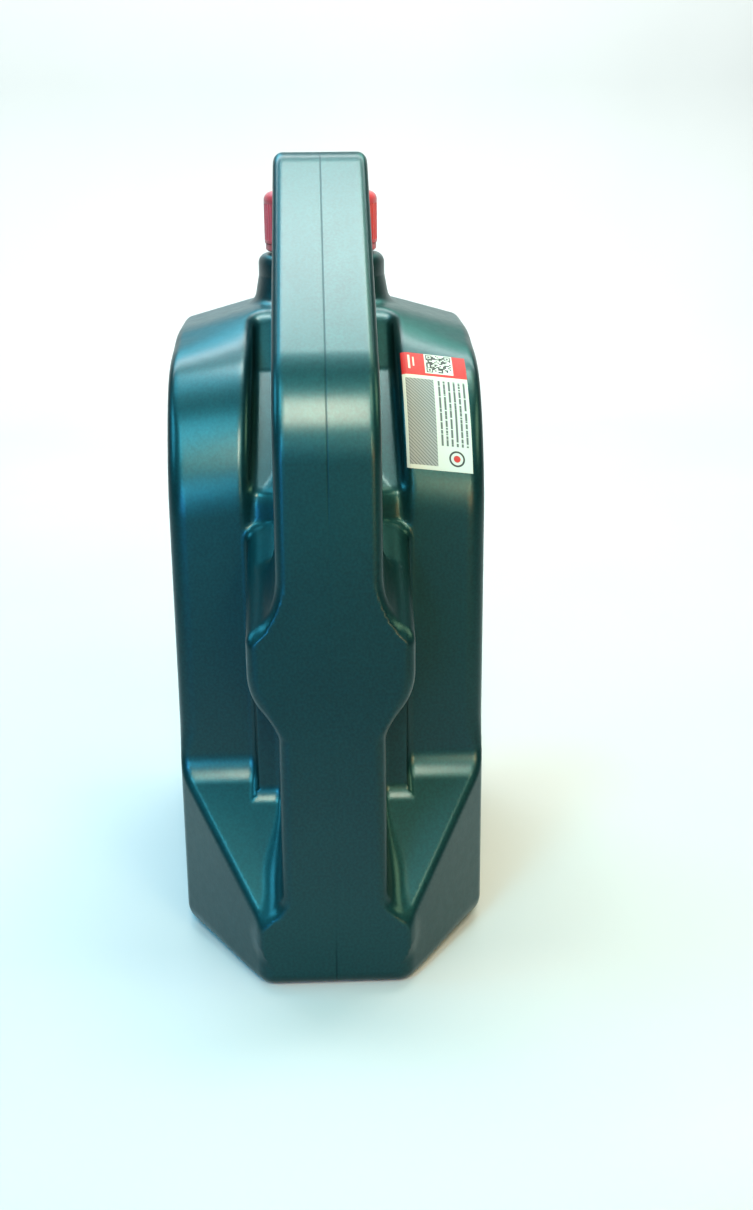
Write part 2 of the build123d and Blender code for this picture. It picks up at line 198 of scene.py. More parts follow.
def boss_front():
    """Upright sides that curve in below to the width of the web."""
    reach = BOSS_HALF - BOSS_LOW_HALF
    fall = BOSS_SIDE_Z - BOSS_LOW_Z
    radius = (reach ** 2 + fall ** 2) / (2 * reach)
    turn = math.asin(fall / radius)
    side = [
        (BOSS_HALF - radius + radius * math.cos(a), BOSS_SIDE_Z - radius * math.sin(a), 0)
        for a in np.linspace(0, turn, 14)
    ]
    top = [(BOSS_HALF, VALLEY[0][1] + 6, 0)]
    other = [(-y, z, 0) for y, z, _ in reversed(top + side)]
    return rounded(top + side + other)


def handle_side():
    """Outside of the handle and of the web below it, from the side."""
    turn = math.pi / 2 - HANDLE_SLOPE
    bend_x = END_X - BEND_RADIUS
    end_x = bend_x + BEND_RADIUS * math.cos(turn)
    end_z = BEND_Z + BEND_RADIUS * math.sin(turn)
    top_x = end_x - (HANDLE_TOP_Z - end_z) / math.tan(HANDLE_SLOPE)
    return rounded(
        [(END_X, FOOT_Z - 10, 0), (WALL_X - 8, FOOT_Z - 10, 0), (WALL_X - 8, VALLEY[0][1], 0)]
        + [(-23, VALLEY[2][1], 0), (-22.5, COLLAR_TOP_Z, 0), (POST_BACK_X, COLLAR_TOP_Z + 5, 4)]
        + [(POST_BACK_X, HANDLE_TOP_Z, 6), (top_x, HANDLE_TOP_Z, 16)]
        + arc(bend_x, BEND_Z, BEND_RADIUS, turn, 0, 40)
    )


def hole_side():
    """Opening for the fingers, from the side."""
    turn = math.pi / 2 - HANDLE_SLOPE
    bend_x = END_X - BEND_RADIUS
    grip = BEND_RADIUS - HANDLE_THICK
    end_x = bend_x + grip * math.cos(turn)
    end_z = BEND_Z + grip * math.sin(turn)
    low, step, end = VALLEY[:3]
    floor_rise = (end[1] - step[1]) / (step[0] - end[0])
    fall = (low[1] - BOSS_TOP_Z) / (END_X - WALL_X)
    grip_x = END_X - HANDLE_THICK
    return rounded(
        [(grip_x, BOSS_TOP_Z + (END_X - grip_x) * fall, 4), (low[0], low[1], 0), (step[0], step[1], 0)]
        + [(POST_FRONT_X, step[1] + (step[0] - POST_FRONT_X) * floor_rise, 10)]
        + [(POST_FRONT_X, end_z + (end_x - POST_FRONT_X) * math.tan(HANDLE_SLOPE), 12)]
        + arc(bend_x, BEND_Z, grip, turn, 0, 24)
    )


def handle_front():
    """Handle from the front: tapering upwards, with a foot that spreads on a curve."""
    low, high = WEB_FOOT_Z
    waist = HANDLE_LOW_HALF - (HANDLE_LOW_HALF - HANDLE_HIGH_HALF) * high / HANDLE_TOP_Z
    reach = WEB_FOOT_HALF - waist
    radius = (reach ** 2 + (high - low) ** 2) / (2 * reach)
    turn = math.asin((high - low) / radius)
    side = [(HANDLE_HIGH_HALF, HANDLE_TOP_Z + 5, 0)]
    side += [
        (waist + radius - radius * math.cos(a), high - radius * math.sin(a), 0)
        for a in np.linspace(0, turn, 12)
    ]
    side += [(WEB_FOOT_HALF, -10, 0)]
    return rounded(side + [(-y, z, 0) for y, z, _ in reversed(side)])


# ---------------------------------------------------------------- distances

def inside_distance(points, u, v):
    """Signed distance from (u, v) to a closed outline, below zero inside it."""
    u, v = np.broadcast_arrays(u, v)
    best = np.full(u.shape, 1e12)
    odd = np.zeros(u.shape, bool)
    for (ax, az), (bx, bz) in zip(points, np.roll(points, -1, axis=0)):
        ex, ez = bx - ax, bz - az
        wx, wz = u - ax, v - az
        size = ex * ex + ez * ez
        if size < 1e-12:
            continue
        t = np.clip((wx * ex + wz * ez) / size, 0, 1)
        best = np.minimum(best, (wx - ex * t) ** 2 + (wz - ez * t) ** 2)
        crosses = (az > v) != (bz > v)
        if ez != 0:
            odd ^= crosses & (u < ex * (v - az) / ez + ax)
    return np.where(odd, -1, 1) * np.sqrt(best)


def both(a, b, radius):
    """Common part of two shapes, its edges rounded."""
    hard = np.maximum(a, b)
    u = np.maximum(radius + a, 0)
    v = np.maximum(radius + b, 0)
    return np.minimum(hard, -radius) + np.where(hard > -radius, np.hypot(u, v), 0)


def joined(a, b, radius):
    """Two shapes together, the corner between them filled to a radius."""
    return -both(-a, -b, radius)


def block(x, y, z, low, high):
    """Distance to an upright box, below zero inside it and short of true off its corners."""
    dx = np.maximum(low[0] - x, x - high[0])
    dy = np.maximum(low[1] - y, y - high[1])
    dz = np.maximum(low[2] - z, z - high[2])
    return np.maximum(np.maximum(dx, dy), dz)


OUTLINES = {
    "roof": roof_side(), "plan": body_plan(),
    "valley": valley_side(), "valley_front": valley_front(),
    "boss": boss_side(), "boss_front": boss_front(),
    "handle": handle_side(), "hole": hole_side(), "handle_front": handle_front(),
}


def rise(value, low, high):
    """0 below low, 1 above high, smooth between."""
    t = np.clip((value - low) / (high - low), 0, 1)
    return t * t * (3 - 2 * t)


def body_distance(x, y, z):
    """Roof, wall and foot, cut to the plan and rounded along every outer edge."""
    beyond = np.abs(y) - WING_Y
    beyond = 0.5 * (beyond + np.sqrt(beyond ** 2 + 9))
    dipped = rise(x, -98, -72) * (1 - rise(x, -10, 25))
    lean = WING_LEAN + (EAVES_LEAN - WING_LEAN) * dipped
    roof = inside_distance(OUTLINES["roof"], x, z + lean * beyond)
    drop, run = CREASE_Z - FOOT_Z, END_X - WALL_X
    slope = ((x - WALL_X) * drop + (z - CREASE_Z) * run) / math.hypot(drop, run)
    body = joined(roof, np.maximum(slope, 20 - x), 5.0)
    plan = inside_distance(OUTLINES["plan"], x, y)
    upper = rise(z, 70, 90)
    eaves = rise(z, 195, 225)
    apart = np.maximum(rise(x, -80, -60), 0.55 * rise(z, 203, 218))
    radius = (2.2 + 3.8 * upper + EAVES_ROUND * eaves) * apart
    return both(both(body, plan, np.maximum(radius, 0.05)), -z, 10.5 - 5.0 * rise(x, 50, 95))


def skin_distance(x, y, z):
    """Signed distance, in millimetres, to the outside of the moulding below the neck."""
    def across(name):
        return inside_distance(OUTLINES[name], x, z)

    def ahead(name):
        return inside_distance(OUTLINES[name], y, z)

    body = body_distance(x, y, z)
    valley = both(across("valley"), ahead("valley_front"), 3.0)
    body = both(body, -valley, VALLEY_ROUND)
    step = block(x, y, z, (WALL_X - 8, -STEP_HALF, STEP_LOW_Z), (STEP_X, STEP_HALF, BOSS_SIDE_Z))
    body = joined(body, step, 3.0)
    boss = both(across("boss"), ahead("boss_front"), BOSS_ROUND)
    boss = both(boss, x - END_X, BOSS_FRONT_ROUND)
    body = joined(body, boss, 2.5)
    loop = np.maximum(across("handle"), -across("hole"))
    loop = both(loop, ahead("handle_front"), HANDLE_ROUND)
    scoop = rise(z, 126, 140) * (1 - rise(z, 176, 190))
    waist = rise(z, 92, 104) * (1 - rise(z, 112, 126))
    foot = 1 - rise(z, 40, 60)
    fillet = 2.5 + 8.0 * scoop + 3.5 * waist + 6.0 * foot
    body = joined(body * (1 - 0.4 * scoop), loop, fillet)
    radial = np.hypot(x - NECK_X, y)
    lean = (FLARE_LOW[0] - FLARE_HIGH[0]) / (FLARE_HIGH[1] - FLARE_LOW[1])
    cone = radial - (FLARE_HIGH[0] + (FLARE_HIGH[1] - z) * lean)
    cone = np.maximum(cone, np.maximum(230 - z, z - FLARE_HIGH[1] - FLARE_RUNS_ON))
    body = joined(body, cone, 3.5)
    body = np.maximum(body, np.maximum(x - END_X, z - HANDLE_TOP_Z))
    panel_x = np.abs(x - PANEL_X) - PANEL_HALF_WIDTH + PANEL_CORNER
    panel_z = np.abs(z - PANEL_Z) - PANEL_HALF_HEIGHT + PANEL_CORNER
    corner = np.hypot(np.maximum(panel_x, 0), np.maximum(panel_z, 0))
    panel = corner + np.minimum(np.maximum(panel_x, panel_z), 0) - PANEL_CORNER
    panel = both(panel, SIDE_Y - PANEL_DEPTH - np.abs(y), 0.3)
    body = both(body, -panel, 0.7)
    channel = both(np.abs(y) - FOOT_CHANNEL[0], z - FOOT_CHANNEL[1], 0.4)
    rim = both(inside_distance(OUTLINES["plan"], x, y) + FOOT_RIM, z - FOOT_DEPTH, 1.0)
    return both(body, -np.minimum(channel, rim), 0.8)


# ---------------------------------------------------------------- skin mesh

def net(values, origin, cell):
    """Points and quads of the zero surface of a grid of values."""
    inside = values < 0
    total = np.zeros(tuple(n - 1 for n in values.shape))
    place = np.zeros(total.shape + (3,))
    for axis in range(3):
        others = [a for a in range(3) if a != axis]
        for i in (0, 1):
            for j in (0, 1):
                low = [slice(0, -1)] * 3
                for other, shift in zip(others, (i, j)):
                    low[other] = slice(shift, values.shape[other] - 1 + shift)
                high = list(low)
                low[axis] = slice(0, -1)
                high[axis] = slice(1, None)
                a, b = values[tuple(low)], values[tuple(high)]
                cut = (a < 0) != (b < 0)
                t = np.where(cut, a / np.where(cut, a - b, 1), 0)
                total += cut
                place[..., axis] += np.where(cut, t, 0)
                for other, shift in zip(others, (i, j)):
                    place[..., other] += np.where(cut, shift, 0)
    used = total > 0
    index = np.full(total.shape, -1)
    index[used] = np.arange(used.sum())
    corner = np.argwhere(used)
    points = origin + cell * (corner + place[used] / total[used][:, None])
    quads = []
    for axis in range(3):
        u, v = (axis + 1) % 3, (axis + 2) % 3
        low = [slice(1, -1)] * 3
        high = [slice(1, -1)] * 3
        low[axis] = slice(0, -1)
        high[axis] = slice(1, None)
        a, b = inside[tuple(low)], inside[tuple(high)]
        for cut, order in ((a & ~b, 1), (~a & b, -1)):
            at = np.argwhere(cut)
            at[:, u] += 1
            at[:, v] += 1
            ring = []
            for du, dv in ((-1, -1), (0, -1), (0, 0), (-1, 0)):
                c = at.copy()
                c[:, u] += du
                c[:, v] += dv
                ring.append(index[c[:, 0], c[:, 1], c[:, 2]])
            quads.append(np.stack(ring[::order], axis=1))
    return points, np.concatenate(quads)


def slope_of(points, reach=0.15):
    """Direction in which the skin distance grows, measured over a reach each way."""
    grown = []
    for axis in range(3):
        step = np.zeros(3)
        step[axis] = reach
        ahead = skin_distance(*(points + step).T)
        behind = skin_distance(*(points - step).T)
        grown.append((ahead - behind) / (2 * reach))
    return np.stack(grown, axis=1)


def settle(points, rounds, lift=0.0):
    """Moves points onto the skin, or to a height above it."""
    for _ in range(rounds):
        slope = slope_of(points)
        size = np.maximum((slope ** 2).sum(1), 0.25)
        move = ((skin_distance(*points.T) - lift) / size)[:, None] * slope
        points = points - np.clip(move, -CELL, CELL)
    return points


def mesh_object(name, points, faces, smooth=True):
    """New object from points in millimetres."""
    mesh = bpy.data.meshes.new(name)
    mesh.from_pydata((np.asarray(points) * MM).tolist(), [], np.asarray(faces).tolist())
    mesh.validate()
    mesh.polygons.foreach_set("use_smooth", [smooth] * len(mesh.polygons))
    mesh.update()
    obj = bpy.data.objects.new(name, mesh)
    bpy.context.collection.objects.link(obj)
    return obj


def apply_modifiers(obj):
    """Replaces the mesh by what the modifiers make of it."""
    depsgraph = bpy.context.evaluated_depsgraph_get()
    mesh = bpy.data.meshes.new_from_object(obj.evaluated_get(depsgraph))
    obj.modifiers.clear()
    obj.data = mesh


def make_skin():
    """Outside of the moulding below the neck as one smooth mesh."""
    low = np.array([-END_X, -SIDE_Y, 0]) - 2 * CELL
    high = np.array([END_X, SIDE_Y, HANDLE_TOP_Z]) + 2 * CELL
    axes = [np.arange(a, b + CELL, CELL) for a, b in zip(low, high)]
    x, y, z = axes[0][:, None, None], axes[1][None, :, None], axes[2][None, None, :]
    values = skin_distance(x, y, z)
    points, quads = net(values, low, CELL)
    points = settle(points, 2)
    obj = mesh_object("bottle_skin", points, quads)
    triangles = 2 * len(obj.data.polygons)
    if triangles > SKIN_TRIANGLES:
        thin = obj.modifiers.new("thin", "DECIMATE")
        thin.ratio = SKIN_TRIANGLES / triangles
        apply_modifiers(obj)
    mesh = obj.data
    at = np.empty(3 * len(mesh.vertices))
    mesh.vertices.foreach_get("co", at)
    at = settle(at.reshape(-1, 3) / MM, 1)
    mesh.vertices.foreach_set("co", (at * MM).ravel())
    mesh.polygons.foreach_set("use_smooth", [True] * len(mesh.polygons))
    normals = slope_of(at, NORMAL_REACH)
    normals /= np.linalg.norm(normals, axis=1)[:, None]
    mesh.normals_split_custom_set_from_vertices(normals.tolist())
    mesh.update()
    return obj


# ---------------------------------------------------------------- turned and swept pieces

def lathe(name, profile, sectors=96):
    """Closed profile of (radius, z) turned about the neck's axis."""
    profile = np.asarray(profile, float)
    count = len(profile)
    points, faces = [], []
    for k in range(sectors):
        a = 2 * math.pi * k / sectors
        for r, z in profile:
            points.append((NECK_X + r * math.cos(a), r * math.sin(a), z))
    for k in range(sectors):
        n = (k + 1) % sectors
        for i in range(count):
            j = (i + 1) % count
            faces.append((k * count + i, n * count + i, n * count + j, k * count + j))
    return mesh_object(name, points, faces)


def thread(name, root, crest, low_z, turns, phase, outward=True):
    """Helical ridge that fades in and out at its ends."""
    steps = int(72 * turns)
    points, faces = [], []
    for k in range(steps + 1):
        a = phase + 2 * math.pi * turns * k / steps
        z = low_z + THREAD_LEAD * turns * k / steps
        fade = min(1, 6 * k / steps, 6 * (steps - k) / steps)
        height = root + (crest - root) * max(fade, 0.02)
        sunk = root - 0.4 if outward else root + 0.4
        for r, dz in ((sunk, -1.5), (height, -0.45), (height, 0.45), (sunk, 1.5)):
            points.append((NECK_X + r * math.cos(a), r * math.sin(a), z + dz))
    for k in range(steps):
        for i in range(4):
            j = (i + 1) % 4
            quad = (4 * k + i, 4 * k + j, 4 * k + 4 + j, 4 * k + 4 + i)
            faces.append(quad if not outward else quad[::-1])
    faces.append((0, 1, 2, 3))
    faces.append((4 * steps + 3, 4 * steps + 2, 4 * steps + 1, 4 * steps))
    return mesh_object(name, points, faces, smooth=False)


def curve(cx, cz, radius, start, end, steps=8):
    """Profile points on an arc, angles in degrees."""
    return [
        (cx + radius * math.cos(math.radians(a)), cz + radius * math.sin(math.radians(a)))
        for a in np.linspace(start, end, steps)
    ]


def make_neck():
    """Neck finish: collar, shoulder, bead for the ring and mouth."""
    profile = [(18.4, 262.0), (22.0, 249.0), (25.6, 249.0)]
    profile += curve(25.6, 250.0, 0.8, -90, 0, 4)
    profile += curve(22.4, 257.8, 4.0, 0, 90)
    profile += [(21.2, 261.85)] + curve(21.2, 262.45, 0.6, -90, -180, 4)
    profile += [(20.6, 265.4)] + curve(20.85, 266.9, 0.5, -70, 70, 6) + [(20.6, 267.9)]
    profile += [(20.6, 282.7), (20.1, 283.2), (18.8, 283.2), (18.4, 282.8)]
    return lathe("neck_finish", profile)


# ---------------------------------------------------------------- sticker

def make_sticker():
    """Thin sheet laid on the flank, with its own flat coordinates in a UV layer."""
    across, along = 24, 40
    points, flat = [], []
    for i in range(along + 1):
        for j in range(across + 1):
            u = (j / across - 0.5) * STICKER_WIDTH
            v = (0.5 - i / along) * STICKER_LENGTH
            y = STICKER_Y + u * math.cos(STICKER_ANGLE) + v * math.sin(STICKER_ANGLE)
            run = v * math.cos(STICKER_ANGLE) - u * math.sin(STICKER_ANGLE)
            turn = STICKER_TURN + run / BROW_RADIUS
            drop = WING_LEAN * (y - WING_Y)
            x = BROW_X + BROW_RADIUS * math.cos(turn)
            z = BROW_Z + BROW_RADIUS * math.sin(turn) - drop
            points.append((x, y, z))
            flat.append((j / across, 1 - i / along))
    points = np.array(points)
    points = np.concatenate([settle(points, 3, 0.04), settle(points, 3, 0.2)])
    flat += flat
    row = across + 1
    layer = row * (along + 1)
    faces = []
    for i in range(along):
        for j in range(across):
            a = i * row + j
            faces.append((a + 1, a, a + row, a + row + 1))
            faces.append((layer + a, layer + a + 1, layer + a + row + 1, layer + a + row))
    edge = [j for j in range(across)]
    edge += [across + i * row for i in range(along)]
    edge += [along * row + j for j in range(across, 0, -1)]
    edge += [i * row for i in range(along, 0, -1)]
    for a, b in zip(edge, edge[1:] + edge[:1]):
        faces.append((a, b, layer + b, layer + a))
    obj = mesh_object("check_sticker_print", points, faces, smooth=False)
    layer_uv = obj.data.uv_layers.new(name="print")
    for loop in obj.data.loops:
        layer_uv.data[loop.index].uv = flat[loop.vertex_index]
    return obj


# ---------------------------------------------------------------- materials

class Graph:
    """One material and short ways to add nodes to it."""

    def __init__(self, name):
        self.material = bpy.data.materials.new(name)
        self.material.use_nodes = True
        self.nodes = self.material.node_tree.nodes
        self.links = self.material.node_tree.links
        self.shader = self.nodes["Principled BSDF"]

    def set(self, **values):
        """Constants on the shader, with _ for a blank in the socket's name."""
        for key, value in values.items():
            self.shader.inputs[key.replace("_", " ")].default_value = value

    def put(self, kind, inputs=(), **settings):
        """New node, its inputs linked to sockets or set to constants."""
        node = self.nodes.new(kind)
        for key, value in settings.items():
            setattr(node, key, value)
        for key, value in dict(inputs).items():
            if isinstance(value, bpy.types.NodeSocket):
                self.links.new(value, node.inputs[key])
            else:
                node.inputs[key].default_value = value
        return node

    def math(self, operation, a, b=0.0, c=0.0):
        return self.put("ShaderNodeMath", {0: a, 1: b, 2: c}, operation=operation).outputs[0]

    def place(self):
        """Object coordinates, in metres, as one socket and as x, y and z."""
        coord = self.put("ShaderNodeTexCoord").outputs["Object"]
        split = self.put("ShaderNodeSeparateXYZ", {0: coord})
        return coord, split.outputs[0], split.outputs[1], split.outputs[2]

    def noise(self, coord, scale, detail=3.0, roughness=0.5):
        return self.put(
            "ShaderNodeTexNoise",
            {"Vector": coord, "Scale": scale, "Detail": detail, "Roughness": roughness},
        ).outputs["Fac"]

    def mix(self, factor, a, b):
        node = self.put("ShaderNodeMix", {0: factor}, data_type="RGBA")
        for socket, value in ((node.inputs[6], a), (node.inputs[7], b)):
            if isinstance(value, bpy.types.NodeSocket):
                self.links.new(value, socket)
            else:
                socket.default_value = (*value, 1)
        return node.outputs[2]

    def scale(self, value, low, high):
        """Noise between 0.35 and 0.65 spread out from low to high."""
        return self.put(
            "ShaderNodeMapRange", {0: value, 1: 0.35, 2: 0.65, 3: low, 4: high}
        ).outputs[0]

    def band(self, value, low, high, soft=1e-5):
        """1 where value lies between low and high."""
        ends = []
        for edge, before, after in ((low, 0.0, 1.0), (high, 1.0, 0.0)):
            limits = {0: value, 1: edge - soft, 2: edge + soft, 3: before, 4: after}
            ends.append(self.put("ShaderNodeMapRange", limits).outputs[0])
        return self.math("MULTIPLY", ends[0], ends[1])

    def distance(self, u, v, centre):
        """Distance from a centre in the plane of u and v."""
        squares = [
            self.math("POWER", self.math("SUBTRACT", socket, at), 2.0)
            for socket, at in ((u, centre[0]), (v, centre[1]))
        ]
        return self.math("SQRT", self.math("ADD", squares[0], squares[1]))

    def bump(self, height, strength, distance):
        """Relief, in metres, on the shader."""
        inputs = {"Strength": strength, "Distance": distance, "Height": height}
        node = self.put("ShaderNodeBump", inputs)
        self.links.new(node.outputs[0], self.shader.inputs["Normal"])

    def colour(self, socket):
        self.links.new(socket, self.shader.inputs["Base Color"])

    def rough(self, socket):
        self.links.new(socket, self.shader.inputs["Roughness"])


def teal_plastic():
    """Pearly moulded skin with fine flakes, a slight peel and the mould's parting line, whose dark
    line is painted shade.
    """
    g = Graph("teal_hdpe")
    coord, _, y, z = g.place()
    cloud = g.noise(coord, 14.0, 2.0)
    grain = g.noise(coord, 900.0, 2.0)
    peel = g.noise(coord, 260.0, 2.0)
    colour = g.mix(g.scale(cloud, 0.0, 1.0), (0.0009, 0.022, 0.026), (0.0012, 0.028, 0.031))
    fleck = g.scale(grain, 0.0, 1.0)
    colour = g.mix(g.math("MULTIPLY", fleck, 0.13), colour, (0.006, 0.085, 0.09))
    # Parting line: a thin band along y = 0. Its colour is darkened as painted shade of the seam's
    # groove, and this is faded out between 16 and 190 mm up. The bump below gives the real relief.
    seam_half = 0.00032
    seam = g.band(y, -seam_half, seam_half, seam_half / 2)
    faint = g.math("MULTIPLY", g.band(z, 0.016, 0.19, 0.008), 0.93)
    seam = g.math("MULTIPLY", seam, g.math("SUBTRACT", 1.0, faint))
    colour = g.mix(g.math("MULTIPLY", seam, 0.7), colour, (0.001, 0.015, 0.018))
    g.colour(colour)
    g.rough(g.scale(peel, 0.4, 0.445))
    # Painted shade on the seam: the coat is thinned along it, which dims its reflection.
    g.links.new(g.math("MULTIPLY_ADD", seam, -0.25, 0.36), g.shader.inputs["Coat Weight"])
    g.set(Metallic=0.8, Coat_Roughness=0.26, Coat_IOR=1.5, IOR=1.5, Specular_IOR_Level=0.25)
    g.shader.inputs["Coat Tint"].default_value = (0.86, 1.0, 0.96, 1)
    height = g.math("ADD", g.math("MULTIPLY", peel, 0.7), g.math("MULTIPLY", grain, 0.3))
    height = g.math("SUBTRACT", height, g.math("MULTIPLY", seam, 6.5))
    g.bump(height, 0.12, 0.00025)
    return g.material


def red_plastic(name):
    """Matt red of the cap and its ring."""
    g = Graph(name)
    coord = g.place()[0]
    cloud = g.noise(coord, 60.0, 2.0)
    grain = g.noise(coord, 1500.0, 2.0)
    g.colour(g.mix(g.scale(cloud, 0.0, 1.0), (0.33, 0.016, 0.024), (0.39, 0.023, 0.031)))
    g.rough(g.scale(grain, 0.3, 0.42))
    g.set(IOR=1.49, Subsurface_Weight=0.05, Subsurface_Scale=0.002)
    g.set(Coat_Weight=0.1, Coat_Roughness=0.3)
    g.bump(grain, 0.15, 0.0001)
    return g.material


def foam():
    """Off-white wad with small cells."""
    g = Graph("liner_foam")
    coord = g.place()[0]
    cells = g.put("ShaderNodeTexVoronoi", {"Vector": coord, "Scale": 1800.0}).outputs["Distance"]
    g.colour(g.mix(cells, (0.84, 0.83, 0.78), (0.7, 0.69, 0.64)))
    g.rough(g.scale(g.noise(coord, 300.0), 0.7, 0.85))
    g.bump(cells, 0.3, 0.0002)
    return g.material


def foil():
    """Slightly crinkled metal."""
    g = Graph("foil")
    coord = g.place()[0]
    crinkle = g.noise(coord, 180.0, 4.0)
    g.colour(g.mix(g.scale(crinkle, 0.0, 1.0), (0.72, 0.72, 0.71), (0.86, 0.86, 0.85)))
    g.rough(g.scale(crinkle, 0.2, 0.34))
    g.set(Metallic=1.0)
    g.bump(crinkle, 0.5, 0.0003)
    return g.material


def oil():
    """Amber liquid, shown as an opaque glossy body."""
    g = Graph("oil")
    coord = g.place()[0]
    g.colour(g.mix(g.scale(g.noise(coord, 20.0), 0.0, 1.0), (0.55, 0.26, 0.03), (0.66, 0.34, 0.05)))
    g.rough(g.scale(g.noise(coord, 8.0), 0.05, 0.08))
    g.set(IOR=1.47)
    return g.material


def label_print(name, facing):
    """Plain fields of colour: a deep field, a pale band, a red stripe and a round drop."""
    g = Graph(name)
    coord, x, _, z = g.place()
    u = g.math("MULTIPLY", g.math("SUBTRACT", x, PANEL_X * MM), facing)
    v = g.math("SUBTRACT", z, PANEL_Z * MM)
    lean = g.math("MULTIPLY_ADD", u, 0.35, v)
    upward = g.put("ShaderNodeMapRange", {0: v, 1: -0.09, 2: 0.09}).outputs[0]
    field = g.mix(upward, (0.01, 0.1, 0.115), (0.02, 0.33, 0.35))
    field = g.mix(g.band(lean, -0.022, 0.012), field, (0.82, 0.85, 0.83))
    field = g.mix(g.band(lean, -0.028, -0.022), field, (0.6, 0.03, 0.04))
    field = g.mix(g.band(lean, 0.012, 0.0145), field, (0.55, 0.6, 0.6))
    radius = g.distance(u, v, (0.0, 0.05))
    field = g.mix(g.band(radius, -1.0, 0.017), field, (0.72, 0.42, 0.06))
    field = g.mix(g.band(radius, 0.0195, 0.021), field, (0.8, 0.82, 0.8))
    rows = g.math("FRACT", g.math("MULTIPLY", v, 180.0))
    lines = g.math("MULTIPLY", g.band(rows, 0.3, 0.62, 0.02), g.band(v, -0.075, -0.047))
    lines = g.math("MULTIPLY", lines, g.band(u, -0.045, 0.03))
    field = g.mix(lines, field, (0.5, 0.62, 0.62))
    past_u = g.math("SUBTRACT", g.math("ABSOLUTE", u), 0.0555)
    past_v = g.math("SUBTRACT", g.math("ABSOLUTE", v), 0.0855)
    margin = g.math("MAXIMUM", past_u, past_v)
    field = g.mix(g.band(margin, 0.0, 1.0, 0.0002), field, (0.75, 0.79, 0.78))
    g.colour(field)
    grain = g.noise(coord, 1200.0, 2.0)
    g.rough(g.scale(grain, 0.3, 0.38))
    g.set(Coat_Weight=0.3, Coat_Roughness=0.15)
    g.bump(grain, 0.08, 0.0001)
    return g.material


def sticker_print():
    """Red head with a block of small squares, a hatched field and grey rows of dashes.

    u and v run over the sheet in millimetres, from its lower left corner.
    """
    g = Graph("sticker_print")
    flat = g.put("ShaderNodeUVMap", uv_map="print").outputs[0]
    split = g.put("ShaderNodeSeparateXYZ", {0: flat})
    u = g.math("MULTIPLY", split.outputs[0], STICKER_WIDTH)
    v = g.math("MULTIPLY", split.outputs[1], STICKER_LENGTH)
    paper = (0.33, 0.36, 0.32)
    red_ink = (0.3, 0.008, 0.007)
    ink = (0.015, 0.018, 0.018)
    grey = (0.05, 0.06, 0.06)
    soft = 0.05

    def area(u0, v0, u1, v1):
        return g.math("MULTIPLY", g.band(u, u0, u1, soft), g.band(v, v0, v1, soft))

    def square(u0, v0, size, inset):
        return area(u0 + inset, v0 + inset, u0 + size - inset, v0 + size - inset)

    def steps_of(value, start, pitch):
        return g.math("DIVIDE", g.math("SUBTRACT", value, start), pitch)

    field = g.mix(area(-1, 38.5, 30, 60), paper, red_ink)
    block_u, block_v = 10.2, 40.4
    block_size = 9.6
    module = 0.64
    field = g.mix(square(block_u, block_v, block_size, -0.6), field, paper)
    snapped = g.put("ShaderNodeCombineXYZ", {
        0: g.math("FLOOR", steps_of(u, block_u, module)),
        1: g.math("FLOOR", steps_of(v, block_v, module)),
    }).outputs[0]
    speckle = g.put("ShaderNodeTexWhiteNoise", {"Vector": snapped}, noise_dimensions="3D")
    dots = g.math("GREATER_THAN", speckle.outputs["Value"], 0.52)
    dots = g.math("MULTIPLY", dots, square(block_u, block_v, block_size, 0))
    field = g.mix(dots, field, ink)
    finder = 7 * module * 0.55
    far = block_size - finder
    for du, dv in ((0, 0), (0, far), (far, far)):
        for inset, colour in ((0, ink), (0.4, paper), (0.8, ink)):
            field = g.mix(square(block_u + du, block_v + dv, finder, inset), field, colour)
    field = g.mix(area(3.2, 41.5, 4.0, 49.0), field, paper)
    field = g.mix(area(5.0, 43.0, 5.6, 48.0), field, paper)
    slant = g.math("FRACT", g.math("MULTIPLY", g.math("ADD", u, v), 0.7))
    hatch = g.mix(g.band(slant, 0.0, 0.35, 0.06), (0.16, 0.175, 0.17), (0.07, 0.08, 0.08))
    field = g.mix(area(1.6, 1.6, 12.4, 36.8), field, hatch)
    row_u = 13.6
    rows = steps_of(u, row_u, 1.9)
    along_row = g.put("ShaderNodeCombineXYZ", {
        0: g.math("FLOOR", rows),
        1: g.math("MULTIPLY", v, 0.8),
    }).outputs[0]
    words = g.band(g.noise(along_row, 1.3, 1.0), 0.36, 1.0, 0.03)
    dashes = g.math("MULTIPLY", g.band(g.math("FRACT", rows), 0.2, 0.62, 0.06), words)
    field = g.mix(g.math("MULTIPLY", dashes, area(row_u, 9.5, 24.9, 36.5)), field, grey)
    radius = g.distance(u, v, (19.6, 4.9))
    field = g.mix(g.band(radius, 2.3, 3.0, 0.06), field, ink)
    field = g.mix(g.band(radius, -1.0, 1.3, 0.06), field, red_ink)
    g.colour(field)
    grain = g.noise(g.place()[0], 1400.0, 2.0)
    g.rough(g.scale(grain, 0.5, 0.6))
    g.set(Specular_IOR_Level=0.25)
    g.bump(grain, 0.1, 0.00008)
    return g.material


def studio_paper():
    """Pale sweep that darkens towards the front, out of the picture; the dark front is painted shade
    for the bottle to reflect.
    """
    g = Graph("studio_paper")
    coord, x = g.place()[:2]
    cloud = g.scale(g.noise(coord, 3.0), 0.0, 1.0)
    pale = g.mix(cloud, (0.3, 0.3, 0.297), (0.315, 0.315, 0.312))
    # Painted shade: a dark strip in front stands in for an unlit room, so the bottle's front faces
    # reflect darkness.
    front = g.put("ShaderNodeMapRange", {0: x, 1: 0.18, 2: 0.42}, interpolation_type="SMOOTHSTEP")
    g.colour(g.mix(front.outputs[0], pale, (0.07, 0.075, 0.075)))
    g.set(Roughness=0.9)
    return g.material


def wear(obj, material):
    """Gives an object one material."""
    obj.data.materials.clear()
    obj.data.materials.append(material)


# ---------------------------------------------------------------- light and camera

